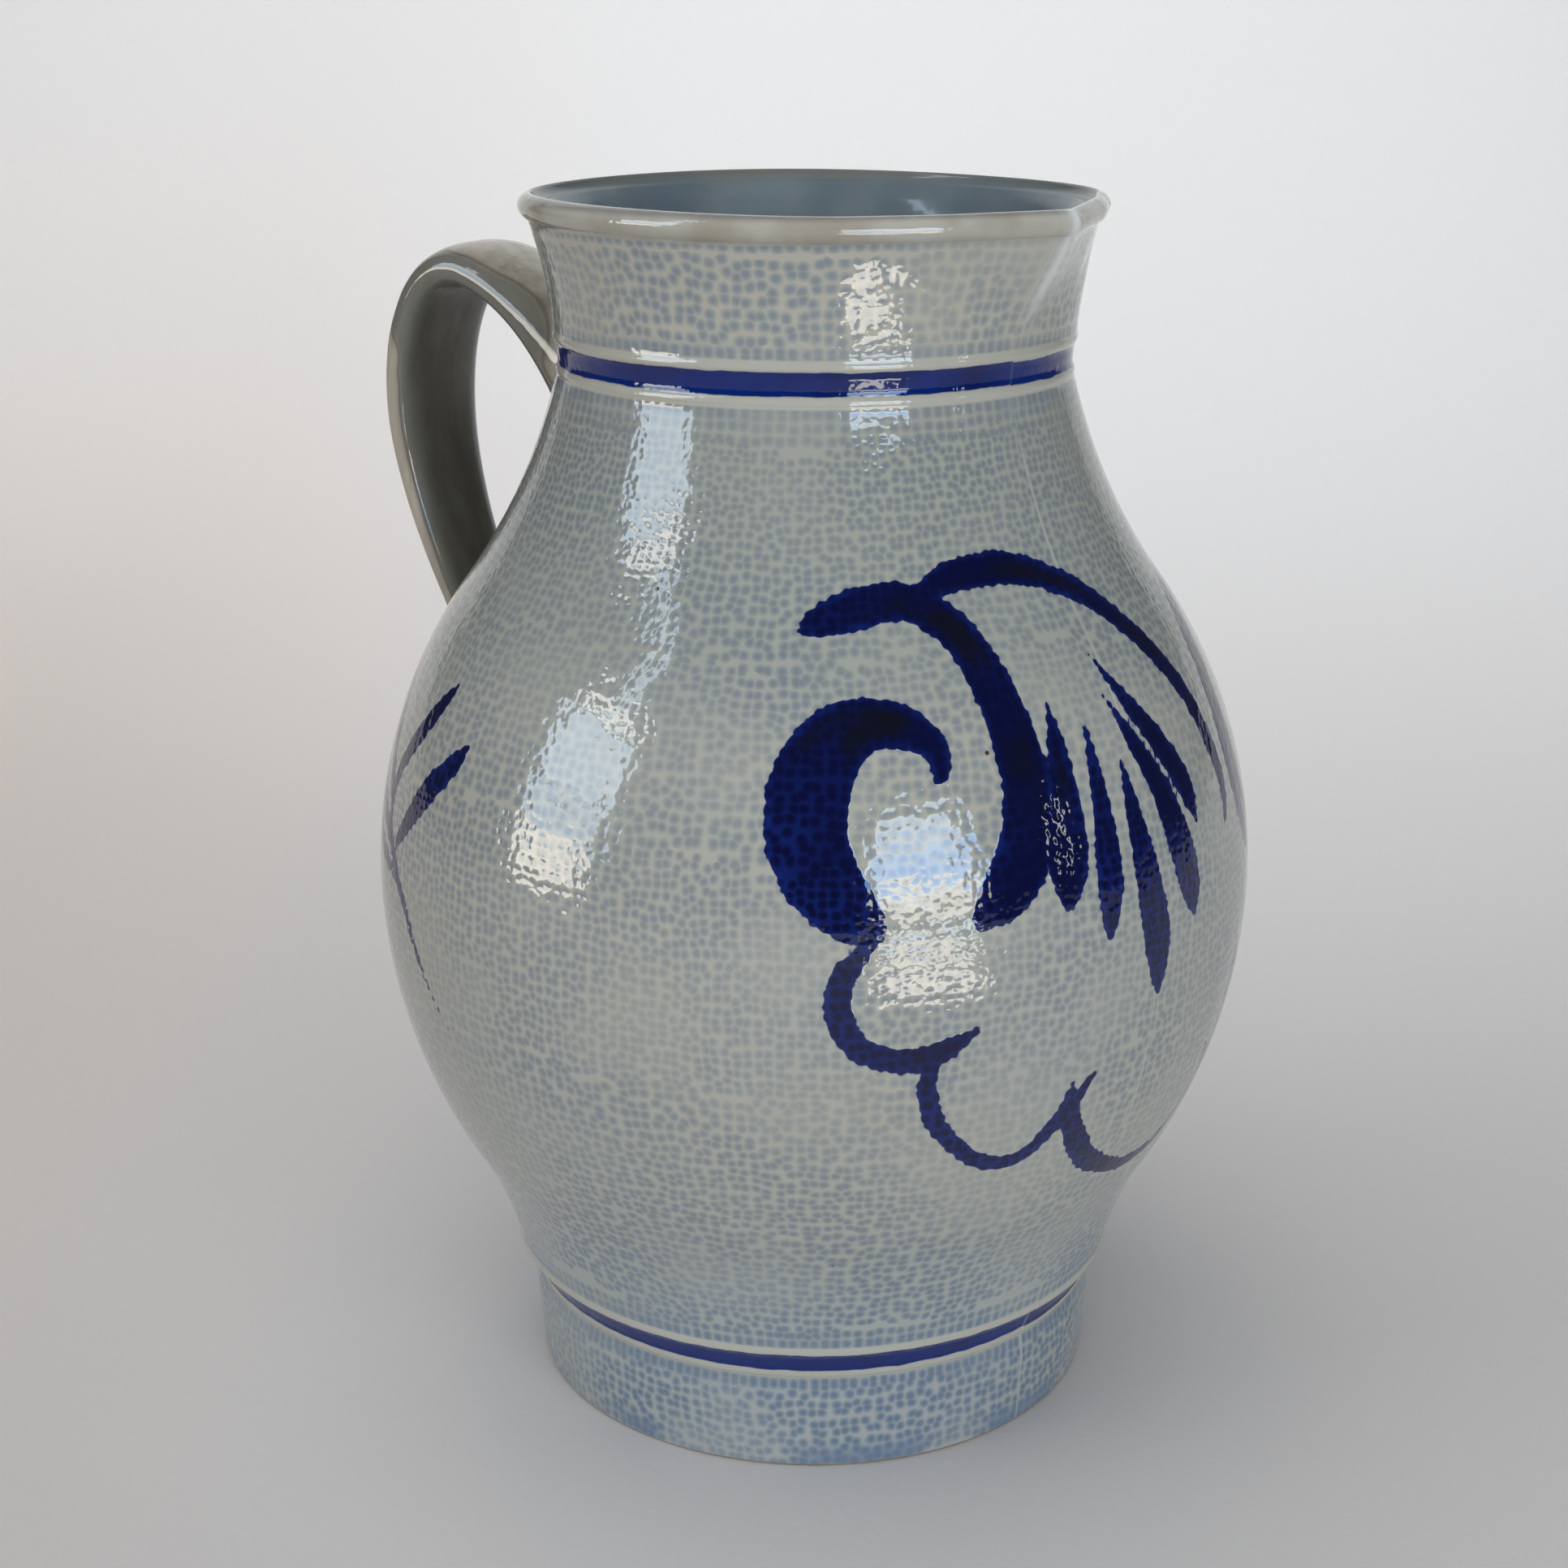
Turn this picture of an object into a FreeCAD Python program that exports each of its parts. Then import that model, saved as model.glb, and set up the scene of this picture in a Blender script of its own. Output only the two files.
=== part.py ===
"""Stoneware pouring jug with a luted strap handle, as a parametric document.

Frame: origin at the centre of the foot ring, on the surface the jug stands on.
+Z is up and +X points along the pouring spout. The handle is at handle_angle,
ten degrees short of straight opposite the spout. Lengths are millimetres,
angles degrees.
"""
import FreeCAD
import Part
import Sketcher
import math
import os

Vector = FreeCAD.Vector
UP = Vector(0, 0, 1)

# --- driving dimensions -----------------------------------------------------
# Points of the wall's outline: reach from the axis, height above the table.
OUTSIDE = {
    "foot_edge": (52.2, 0.0),
    "foot_swell": (53.4, 13.4),
    "foot_low_bead": (52.9, 18.3),
    "foot_band_low": (53.5, 19.9),
    "foot_band_high": (55.2, 23.9),
    "foot_high_bead": (56.5, 25.7),
    "hip": (65.2, 47.0),
    "belly": (79.5, 97.5),
    "shoulder": (61.8, 151.0),
    "neck_low_bead": (45.2, 187.3),
    "neck_band_low": (44.9, 188.9),
    "neck_band_high": (45.3, 192.7),
    "neck_high_bead": (45.6, 194.4),
    "lip_under": (49.6, 213.6),
    "lip_outer": (51.2, 216.0),
    "lip_top": (49.0, 218.0),
}
MIDDLE = {
    "axis_foot": (0.0, 3.4),
    "axis_top": (0.0, 218.0),
    "axis_mouth": (0.0, 220.0),
}
INSIDE = {
    "mouth_clear": (46.9, 220.0),
    "mouth": (46.9, 215.9),
    "throat": (40.6, 193.0),
    "throat_base": (40.4, 184.0),
    "inner_shoulder": (57.0, 148.6),
    "inner_belly": (74.4, 97.5),
    "inner_hip": (60.6, 49.2),
    "inner_floor": (44.0, 14.5),
    "floor_middle": (0.0, 9.0),
}
FOOT_RING = {
    "recess_top": (44.6, 3.4),
    "recess_edge": (46.6, 0.0),
}
ARCS = {
    "bead_arc": 1.25,
    "hip_arc": 76.0,
    "lower_belly_arc": 97.0,
    "upper_belly_arc": 90.5,
    "shoulder_arc": 104.0,
    "neck_flare_arc": 75.0,
    "lip_arc": 2.6,
    "throat_arc": 70.0,
    "inner_shoulder_arc": 90.0,
    "inner_upper_belly_arc": 85.0,
    "inner_lower_belly_arc": 92.0,
    "inner_hip_arc": 80.0,
    "floor_arc": 190.0,
}
# Level sections of the pouring spout: height, reach of the tip, and the two
# roots where its straight sides leave the neck.
SPOUT = [
    (196.5, 45.4, 39.5, 19.0),
    (205.5, 50.8, 41.5, 20.5),
    (212.0, 54.7, 43.5, 21.8),
    (217.2, 56.8, 44.8, 22.6),
]
CHANNEL = [
    (199.0, 40.2, 34.0, 17.0),
    (206.5, 46.2, 38.0, 19.0),
    (212.0, 49.9, 40.0, 20.0),
    (220.5, 53.4, 41.5, 21.0),
]
# Stations along the handle: reach, height, lean of its run from upright,
# width across the strap, thickness.
HANDLE = [
    (43.0, 179.2, 36.0, 24.8, 21.8),
    (52.4, 189.5, 48.0, 24.6, 13.4),
    (60.7, 196.1, 56.0, 24.4, 9.8),
    (71.1, 200.8, 79.0, 24.4, 9.0),
    (79.3, 199.0, 128.0, 24.4, 9.0),
    (84.5, 191.8, 155.0, 24.4, 8.9),
    (87.7, 177.5, 177.0, 23.8, 8.7),
    (84.8, 155.8, 196.0, 21.6, 7.8),
    (71.9, 125.4, 207.0, 18.8, 6.8),
]
# The rolls of soft clay pressed round the two ends of the handle.
UPPER_JOINT = [
    (42.0, 178.1, 36.0, 31.0, 27.5),
    (50.6, 187.9, 46.0, 27.0, 17.4),
]
LOWER_JOINT = [
    (70.5, 122.6, 207.0, 26.0, 13.5),
    (77.6, 137.5, 204.0, 21.8, 8.9),
]
SINGLE = {
    "full_turn": 360.0,
    "quarter_turn": 90.0,
    "handle_angle": 190.0,
    "spout_tip_round": 3.2,
    "channel_tip_round": 2.2,
}

doc = FreeCAD.newDocument("Jug")
sizes = doc.addObject("Spreadsheet::Sheet", "Sizes")
cell_row = 0


def put(alias, value):
    """One named dimension in the next free row of the sheet."""
    global cell_row
    cell_row += 1
    sizes.set("A%d" % cell_row, alias)
    sizes.set("B%d" % cell_row, str(value))
    sizes.setAlias("B%d" % cell_row, alias)


def put_stations(prefix, rows, columns):
    for number, row in enumerate(rows, 1):
        for column, value in zip(columns, row):
            put("%s_%d_%s" % (prefix, number, column), value)


WEDGE_COLUMNS = ("height", "tip", "root_reach", "root_side")
STRAP_COLUMNS = ("reach", "height", "lean", "width", "thick")

for group in (OUTSIDE, MIDDLE, INSIDE, FOOT_RING):
    for point_name, (reach, height) in group.items():
        put(point_name + "_reach", reach)
        put(point_name + "_height", height)
for alias, value in list(ARCS.items()) + list(SINGLE.items()):
    put(alias, value)
put_stations("spout", SPOUT, WEDGE_COLUMNS)
put_stations("channel", CHANNEL, WEDGE_COLUMNS)
put_stations("handle", HANDLE, STRAP_COLUMNS)
put_stations("upper_joint", UPPER_JOINT, STRAP_COLUMNS)
put_stations("lower_joint", LOWER_JOINT, STRAP_COLUMNS)
doc.recompute()


def size(alias):
    return float(sizes.get(alias))


def cell(alias):
    return "<<Sizes>>." + alias


sizes.Label = "Sizes"


# --- sketch helpers ---------------------------------------------------------
def new_body(label):
    body = doc.addObject("PartDesign::Body", label)
    body.Label = label
    return body


def new_sketch(body, name, role):
    """A sketch lying flat on one of the body's own origin planes."""
    plane = [f for f in body.Origin.OriginFeatures if f.Role == role][0]
    sketch = body.newObject("Sketcher::SketchObject", name)
    sketch.AttachmentSupport = [(plane, "")]
    sketch.MapMode = "FlatFace"
    return sketch


def bind(sketch, kind, arguments, alias):
    """A dimension that takes its value from the sheet."""
    index = sketch.addConstraint(Sketcher.Constraint(kind, *arguments, size(alias)))
    sketch.setExpression("Constraints[%d]" % index, cell(alias))


def place_point(sketch, edge, end, name):
    """Holds one end of an edge at a named point's reach and height."""
    for kind, alias, axis in (("DistanceX", name + "_reach", -2),
                              ("DistanceY", name + "_height", -1)):
        if size(alias) == 0.0:
            sketch.addConstraint(Sketcher.Constraint("PointOnObject", edge, end, axis))
        else:
            bind(sketch, kind, (-1, 1, edge, end), alias)


def arc_between(start, stop, radius, bulge):
    """Arc of a given radius from start to stop.

    bulge +1 bows the arc to the right of the way from start to stop, -1 to
    the left. Returns the arc and whether it runs counter-clockwise.
    """
    run = stop.sub(start)
    half = run.Length / 2.0
    middle = start.add(stop).multiply(0.5)
    left = Vector(-run.y, run.x, 0).normalize()
    rise = math.sqrt(radius * radius - half * half)
    centre = middle.add(left.multiply(rise * bulge))
    circle = Part.Circle(centre, UP, radius)
    first, last = (start, stop) if bulge > 0 else (stop, start)
    angles = [math.atan2(p.y - centre.y, p.x - centre.x) for p in (first, last)]
    return Part.ArcOfCircle(circle, angles[0], angles[1]), bulge > 0


def outline(body, name, chain):
    """Closed outline in the XZ plane, from points of the sheet.

    chain holds (point, arc alias or None, bulge) in order; each row also says
    how the run to the next point goes.
    """
    sketch = new_sketch(body, name, "XZ_Plane")
    spots = [Vector(size(p + "_reach"), size(p + "_height"), 0) for p, _, _ in chain]
    ends = []
    for number, (point, arc, bulge) in enumerate(chain):
        start, stop = spots[number], spots[(number + 1) % len(chain)]
        if arc is None:
            edge = sketch.addGeometry(Part.LineSegment(start, stop), False)
            ends.append((edge, 1, 2))
            continue
        shape, forward = arc_between(start, stop, size(arc), bulge)
        edge = sketch.addGeometry(shape, False)
        ends.append((edge, 1, 2) if forward else (edge, 2, 1))
    for number, (point, arc, bulge) in enumerate(chain):
        edge, first, _ = ends[number]
        before, _, last = ends[number - 1]
        sketch.addConstraint(Sketcher.Constraint("Coincident", before, last, edge, first))
        place_point(sketch, edge, first, point)
        if arc is not None:
            bind(sketch, "Radius", (edge,), arc)
    return sketch


def revolve(body, kind, name, sketch):
    """A full turn of the sketch about the jug's axis."""
    feature = body.newObject(kind, name)
    feature.Profile = sketch
    feature.ReferenceAxis = (sketch, ["V_Axis"])
    feature.Angle = size("full_turn")
    feature.setExpression("Angle", cell("full_turn"))
    return feature


def loft(body, kind, name, sections):
    feature = body.newObject(kind, name)
    feature.Profile = sections[0]
    feature.Sections = sections[1:]
    feature.Ruled = False
    return feature


def wedge_section(body, prefix, number, round_alias):
    """Level section of a spout: a rounded tip on the +X side, straight sides
    back to two roots, and a straight back."""
    key = "%s_%d_" % (prefix, number)
    sketch = new_sketch(body, key + "section", "XY_Plane")
    sketch.setExpression("AttachmentOffset.Base.z", cell(key + "height"))
    round_tip = size(round_alias)
    centre = Vector(size(key + "tip") - round_tip, 0, 0)
    root = Vector(size(key + "root_reach"), size(key + "root_side"), 0)
    way = root.sub(centre)
    angle = math.atan2(way.y, way.x) - math.acos(round_tip / way.Length)
    touch = centre.add(Vector(math.cos(angle), math.sin(angle), 0).multiply(round_tip))

    def mirrored(point):
        return Vector(point.x, -point.y, 0)

    tip = sketch.addGeometry(Part.ArcOfCircle(Part.Circle(centre, UP, round_tip), -angle, angle), False)
    upper = sketch.addGeometry(Part.LineSegment(touch, root), False)
    back = sketch.addGeometry(Part.LineSegment(root, mirrored(root)), False)
    lower = sketch.addGeometry(Part.LineSegment(mirrored(root), mirrored(touch)), False)
    for rule in (("Tangent", tip, 2, upper, 1), ("Coincident", upper, 2, back, 1),
                 ("Coincident", back, 2, lower, 1), ("Tangent", lower, 2, tip, 1),
                 ("PointOnObject", tip, 3, -1), ("Symmetric", back, 1, back, 2, -1)):
        sketch.addConstraint(Sketcher.Constraint(*rule))
    bind(sketch, "Radius", (tip,), round_alias)
    bind(sketch, "DistanceX", (-1, 1, back, 1), key + "root_reach")
    bind(sketch, "DistanceY", (-1, 1, back, 1), key + "root_side")
    reach = sketch.addConstraint(Sketcher.Constraint("DistanceX", -1, 1, tip, 3, centre.x))
    sketch.setExpression("Constraints[%d]" % reach, cell(key + "tip") + " - " + cell(round_alias))
    return sketch


def strap_section(prefix, number):
    """Oval section across the strap, square to its run in the XZ plane."""
    key = "%s_%d_" % (prefix, number)
    oval = doc.addObject("Part::Ellipse", key + "section")
    oval.setExpression("MajorRadius", cell(key + "width") + " / 2")
    oval.setExpression("MinorRadius", cell(key + "thick") + " / 2")
    oval.setExpression("Placement", "placement(vector(%s; 0; %s); rotation(vector(0; 1; 0); %s) * %s)" % (
        cell(key + "reach"), cell(key + "height"), cell(key + "lean"),
        "rotation(vector(0; 0; 1); %s)" % cell("quarter_turn")))
    return oval


def strap(label, prefix, rows):
    """Smooth strap through its oval sections, swung round to the handle's side."""
    run = doc.addObject("Part::Loft", label)
    run.Sections = [strap_section(prefix, number) for number in range(1, len(rows) + 1)]
    run.Solid = True
    run.Ruled = False
    run.MaxDegree = 3
    run.setExpression("Placement", "placement(vector(0; 0; 0); rotation(vector(0; 0; 1); %s))"
                      % cell("handle_angle"))
    return run


def cut(label, base, tool):
    piece = doc.addObject("Part::Cut", label)
    piece.Label = label
    piece.Base = base
    piece.Tool = tool
    return piece


# --- the vessel: one moulded wall -------------------------------------------
OUTER_CHAIN = [
    ("axis_foot", None, 0),
    ("recess_top", None, 0),
    ("recess_edge", None, 0),
    ("foot_edge", None, 0),
    ("foot_swell", None, 0),
    ("foot_low_bead", "bead_arc", 1),
    ("foot_band_low", None, 0),
    ("foot_band_high", "bead_arc", 1),
    ("foot_high_bead", "hip_arc", -1),
    ("hip", "lower_belly_arc", 1),
    ("belly", "upper_belly_arc", 1),
    ("shoulder", "shoulder_arc", -1),
    ("neck_low_bead", "bead_arc", 1),
    ("neck_band_low", None, 0),
    ("neck_band_high", "bead_arc", 1),
    ("neck_high_bead", "neck_flare_arc", -1),
    ("lip_under", "lip_arc", 1),
    ("lip_outer", "lip_arc", 1),
    ("lip_top", None, 0),
    ("axis_top", None, 0),
]
INNER_CHAIN = [
    ("axis_mouth", None, 0),
    ("floor_middle", "floor_arc", 1),
    ("inner_floor", "inner_hip_arc", 1),
    ("inner_hip", "inner_lower_belly_arc", 1),
    ("inner_belly", "inner_upper_belly_arc", 1),
    ("inner_shoulder", "inner_shoulder_arc", -1),
    ("throat_base", None, 0),
    ("throat", "throat_arc", -1),
    ("mouth", None, 0),
    ("mouth_clear", None, 0),
]


def solid_form(body):
    """The jug's outside as one solid of revolution, not yet hollow."""
    sketch = outline(body, body.Label + "_outline", OUTER_CHAIN)
    revolve(body, "PartDesign::Revolution", body.Label + "_turned", sketch)
    doc.recompute()


def wedge(body, kind, name, prefix, rows, round_alias):
    sections = [wedge_section(body, prefix, n, round_alias) for n in range(1, len(rows) + 1)]
    loft(body, kind, name, sections)
    doc.recompute()


vessel = new_body("vessel")
solid_form(vessel)
wedge(vessel, "PartDesign::AdditiveLoft", "pouring_spout", "spout", SPOUT, "spout_tip_round")
hollow_outline = outline(vessel, "hollow_outline", INNER_CHAIN)
revolve(vessel, "PartDesign::Groove", "hollow", hollow_outline)
doc.recompute()
wedge(vessel, "PartDesign::SubtractiveLoft", "pouring_channel", "channel", CHANNEL, "channel_tip_round")

# --- the handle and the clay that lutes it on -------------------------------
# The pieces outside the wall are trimmed by its solid form, so they meet it
# face to face and never reach into the hollow.
form = new_body("form")
solid_form(form)
handle = cut("handle", strap("handle_strap", "handle", HANDLE), form)


def luted_joint(label, prefix, rows):
    """A roll of clay round one end of the handle, cut to fit wall and strap."""
    roll = strap(label + "_roll", prefix, rows)
    return cut(label, cut(label + "_trimmed", roll, form), handle)


upper_joint = luted_joint("upper_joint", "upper_joint", UPPER_JOINT)
lower_joint = luted_joint("lower_joint", "lower_joint", LOWER_JOINT)
doc.recompute()

# --- checks and export ------------------------------------------------------
for item in doc.Objects:
    if "Invalid" in item.State or "Error" in item.State:
        raise RuntimeError("%s is not valid: %s" % (item.Label, item.State))

os.makedirs("parts", exist_ok=True)
for node in (vessel, handle, upper_joint, lower_joint):
    shape = node.Shape
    if shape.isNull() or not shape.isValid() or len(shape.Solids) != 1:
        raise RuntimeError("%s is not one valid solid" % node.Label)
    shape.exportStep("parts/%s.step" % node.Label)
    box = shape.BoundBox
    print("%-12s %8.1f cm3  x %6.1f %6.1f  y %6.1f %6.1f  z %6.1f %6.1f" % (
        node.Label, shape.Volume / 1000.0, box.XMin, box.XMax, box.YMin, box.YMax, box.ZMin, box.ZMax))
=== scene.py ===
"""Glazed stoneware pouring jug: the looks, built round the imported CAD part.

The jug's own frame: origin at the centre of the foot ring, +Z up, +X along the
pouring spout. The tables below are in millimetres and degrees, angles counted
round the jug from the spout; everything handed to Blender is in metres.
"""
import math

import bpy
import numpy as np
from mathutils import Matrix, Vector


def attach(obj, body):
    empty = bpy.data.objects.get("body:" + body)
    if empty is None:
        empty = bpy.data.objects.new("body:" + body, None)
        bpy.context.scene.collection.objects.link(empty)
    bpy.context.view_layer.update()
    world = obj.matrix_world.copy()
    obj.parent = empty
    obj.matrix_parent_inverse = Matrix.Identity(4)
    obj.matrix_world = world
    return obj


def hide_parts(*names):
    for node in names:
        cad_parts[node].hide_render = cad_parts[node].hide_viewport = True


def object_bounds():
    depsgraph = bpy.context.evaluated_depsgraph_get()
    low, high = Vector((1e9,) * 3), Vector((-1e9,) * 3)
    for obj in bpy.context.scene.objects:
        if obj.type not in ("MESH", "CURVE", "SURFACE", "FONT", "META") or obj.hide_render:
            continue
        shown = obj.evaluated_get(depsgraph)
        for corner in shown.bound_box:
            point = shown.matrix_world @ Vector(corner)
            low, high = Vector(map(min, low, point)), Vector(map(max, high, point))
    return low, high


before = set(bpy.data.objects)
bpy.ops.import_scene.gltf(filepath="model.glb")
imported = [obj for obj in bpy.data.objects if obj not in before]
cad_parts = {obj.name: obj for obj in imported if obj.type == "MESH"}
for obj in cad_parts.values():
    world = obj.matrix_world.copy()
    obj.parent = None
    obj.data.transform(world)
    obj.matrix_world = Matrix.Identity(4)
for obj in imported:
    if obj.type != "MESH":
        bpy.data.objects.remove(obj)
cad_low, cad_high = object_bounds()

MM = 0.001
TURN = 2.0 * math.pi
random = np.random.default_rng(20)

# --- the wall's outline ------------------------------------------------------
# Each point is reach from the axis, height, and the radius of the arc to the
# next point: positive bows away from the axis, negative towards it, 0 straight.
UNDERSIDE = [
    (4.0, 3.4, 0), (43.9, 3.4, 1.0), (45.2, 2.9, 0), (46.4, 0.5, -1.0), (47.2, 0.0, 0), (51.5, 0.0, 1.0),
]
OUTSIDE = [
    (52.28, 0.8, 0), (53.4, 13.4, 0), (52.9, 18.3, 1.25), (53.5, 19.9, 0), (55.2, 23.9, 1.25),
    (56.5, 25.7, -76), (65.2, 47.0, 97), (79.5, 97.5, 90.5), (61.8, 151.0, -104),
    (45.2, 187.3, 1.25), (44.9, 188.9, 0), (45.3, 192.7, 1.25), (45.6, 194.4, -75), (49.6, 213.6, 2.6),
    (51.2, 216.0, 2.6), (49.0, 218.0, 2.3),
]
# The inside is listed from the floor up.
INSIDE = [
    (4.0, 9.0, 190), (44.0, 14.5, 80), (60.6, 49.2, 92), (74.4, 97.5, 85), (57.0, 148.6, -90),
    (40.4, 184.0, 0), (40.6, 193.0, -70), (46.9, 215.9, 2.3),
]
LIP_TOP = 218.0
LIP_DIP = 0.35
# Waves in the wall: how many round the jug, their pitch up it, and their share of the
# depth. The shares add up to 1.
WALL_WAVES = ((2, 190, 0.4), (3, 120, 0.3), (5, 75, 0.18), (7, 52, 0.12))
WALL_WAVE_DEPTH = 0.10
OUTSIDE_STEP = 1.45
INSIDE_STEP = 7.0
SMALL_ARC = 3.0
SMALL_ARC_PARTS = 6

# Heights of the plain and painted bands, low to high.
FOOT_BAND = (19.7, 24.6)
NECK_BAND = (188.8, 193.1)
BEADS = ((18.1, 19.9), (23.9, 26.0), (187.0, 188.9), (192.7, 194.8))

# --- the pouring spout -------------------------------------------------------
SPOUT_FOOT = 195.5
SPOUT_FULL = 214.0
SPOUT_REACH = 5.5
SPOUT_EDGE_ROUND = 0.9
SPOUT_HIGHLIGHT_WIDTH = 1.2
# The pinch beside the spout: its depth in millimetres, then how far round from the
# flank it lies and how wide it is, in radians.
SPOUT_PINCH = 0.9
PINCH_OFF = 0.14
PINCH_WIDTH = 0.13
SPOUT_INNER_SHARE = 0.94

COLUMNS = 392
SPOUT_CROWDING = 1.3
SPOUT_CROWD_WIDTH = math.radians(15.0)

# --- the strap handle --------------------------------------------------------
HANDLE_ANGLE = math.radians(190.0)
# Along the strap's middle: reach, height, width across, thickness.
STRAP = [
    (40.8, 176.2, 25.2, 24.4), (43.0, 179.2, 24.8, 21.8), (46.3, 183.3, 24.7, 18.1),
    (50.5, 187.7, 24.6, 14.6), (55.4, 192.2, 24.5, 11.7), (60.7, 196.1, 24.4, 9.7),
    (66.0, 199.1, 24.4, 8.9), (71.1, 200.9, 24.3, 8.8), (75.6, 200.8, 24.3, 8.8),
    (79.3, 199.0, 24.2, 8.8), (82.3, 195.8, 24.1, 8.8), (84.5, 191.8, 24.0, 8.7),
    (86.2, 187.3, 23.9, 8.7), (87.2, 182.6, 23.6, 8.7), (87.7, 177.5, 23.3, 8.6),
    (87.7, 172.2, 22.9, 8.4), (87.1, 166.4, 22.2, 8.1), (85.8, 160.0, 21.4, 7.8),
    (83.8, 152.9, 20.5, 7.4), (80.9, 144.9, 19.5, 7.0), (76.9, 135.8, 18.5, 6.5),
    (71.9, 125.4, 17.5, 6.1), (69.2, 120.0, 17.0, 6.0),
]
STRAP_ROWS = 150
STRAP_AROUND = 56
STRAP_SQUARENESS = 2.8
STRAP_DOME = 0.16
JOINT_SINK = 0.35
# How far the clay of each joint reaches over the wall and up the strap.
UPPER_JOINT_REACH = (2.4, 2.6)
LOWER_JOINT_REACH = (2.6, 3.2)
# The clay's thin edges sink this far into the wall and the strap, and its hidden back
# lies this deep inside them, so that no gap shows.
WALL_EDGE_SINK = 0.12
STRAP_EDGE_SINK = 0.1
STRAP_BURIAL = 0.9
ROOT_BURIAL = 1.0
FILLET_FULLNESS = 0.12
FILLET_POINTS = 8

# --- the brushwork -----------------------------------------------------------
# Each stroke is a row of (angle, height, width) stations for a round brush.
SCROLL = {
    "hook": [(-49.5, 155, 2.2), (-47, 155.8, 5.2), (-42, 157.4, 7), (-34, 158.4, 6.4), (-28, 155.5, 6.6),
             (-25, 152, 7), (-23, 147.5, 7.4), (-21.5, 141, 8), (-20.6, 132, 8.8), (-21, 126, 9.6),
             (-22.5, 120, 10.2), (-25, 115.5, 9), (-28, 112, 4.5)],
    "comma": [(-32, 133.5, 2.6), (-31.9, 136.5, 4), (-33.2, 139, 5.4), (-36, 140.9, 7), (-39.2, 141.7, 8),
              (-42.3, 141.3, 9.4), (-45, 139.6, 11), (-47.2, 136.6, 12.2), (-48.6, 132.5, 13),
              (-48.9, 128, 13.2), (-48.6, 124, 13), (-47.6, 120.5, 12.4), (-45.9, 117.2, 11.4),
              (-43.9, 114.4, 9.4), (-42.2, 112.2, 6.8), (-41, 110.4, 3)],
    "claw": [(-41.3, 109, 1.2), (-43.6, 106, 3.4), (-45, 102.8, 4.3), (-45.2, 98.8, 4.6), (-44.5, 95.2, 4.6),
             (-42.6, 91.8, 4.6), (-39.8, 90, 4.4), (-36.9, 89.4, 4.4), (-34, 90, 4.2), (-31.2, 91.8, 3),
             (-28.3, 94, 0.5)],
    "low_loop": [(-33.9, 90, 2.2), (-34.6, 86.5, 2.9), (-34.6, 82.8, 3.3), (-33.6, 78.2, 3.4),
                 (-31.7, 74.2, 3.3), (-27.6, 69, 3.1), (-23.7, 67.1, 3), (-20.3, 68.1, 2.8),
                 (-17.9, 70.9, 2.9), (-15, 75.4, 3.6), (-11.4, 81.4, 0.7)],
}
FAN = {
    "arch": [(-31, 159.6, 2.5), (-27, 160.9, 4.6), (-23.5, 161.6, 5.6), (-14.5, 161.8, 5.7), (-5.5, 159.2, 5),
             (3, 154.4, 4.6), (10.5, 146, 4.5), (15.5, 136.6, 4.5), (18, 126, 4.1), (18.4, 119.5, 3.1),
             (17, 114.5, 1)],
    "leaf_1": [(-14.7, 142.5, 0.3), (-15, 135.7, 3.6), (-15.6, 126, 6.8), (-16.1, 118.6, 8), (-16.6, 112, 3)],
    "leaf_2": [(-9.6, 138.5, 0.3), (-9.8, 132, 2.6), (-10, 122, 4.8), (-10.2, 112, 5.4), (-10.9, 104, 1)],
    "leaf_3": [(-4.8, 132.4, 0.3), (-4.7, 123.4, 3.6), (-3.6, 112.6, 6.1), (-2.4, 101.3, 6.8),
               (-2, 91.6, 1.2)],
    "leaf_4": [(-4.6, 142, 0.3), (-1.6, 134, 3.2), (1.4, 125.6, 5.2), (3.6, 116, 7), (5, 108.3, 6.2),
               (5.4, 103.4, 1.4)],
    "leaf_5": [(-3.9, 147.5, 0.3), (0.2, 138.9, 3.4), (4.2, 131.3, 5.1), (7.1, 124, 5.1), (8.2, 118, 1)],
    "wide_loop": [(-15, 80, 0.9), (-14.8, 75.4, 3.6), (-13.3, 70.4, 4.6), (-10.8, 65.3, 4.8),
                  (-7.4, 61.2, 4.4), (-0.7, 57.2, 3.2), (4.8, 56.4, 2.6), (10.4, 57.3, 2.3),
                  (14.6, 60.3, 2.2), (17.8, 64.6, 2.3), (20.6, 71, 2.8), (22.4, 78, 3.4),
                  (23.6, 85, 4), (24.2, 91, 0.5)],
}
SPRIG = {
    "leaf_1": [(-107.5, 138.8, 0.8), (-109.5, 136, 3), (-112.7, 131, 4), (-116.5, 125, 3.8), (-119.2, 119, 3),
               (-119.2, 113, 2.6), (-116.8, 108.5, 2.2)],
    "leaf_2": [(-99.6, 131, 1.2), (-102, 127.6, 4), (-106.5, 122, 5.2), (-110.5, 116, 4.2),
               (-114.5, 110, 2.4)],
    "leaf_3": [(-133, 139, 0.8), (-131, 134, 4), (-127, 126, 4.6), (-120.5, 116.5, 2.6)],
    "leaf_4": [(-138, 126, 0.8), (-134, 121, 3.8), (-127, 114.5, 4.6), (-118.5, 109.5, 2.4)],
    "leaf_5": [(-134, 110.5, 0.8), (-129, 109, 3.4), (-122, 106, 3.6), (-114.5, 103.5, 1.4)],
    "stem": [(-117.2, 109, 2.6), (-113, 103.4, 2.5), (-110.2, 99.3, 2.2), (-108, 95, 1.8), (-105.7, 90, 1.4),
             (-103, 85.6, 1), (-100.5, 81.5, 0.4)],
}
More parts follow.
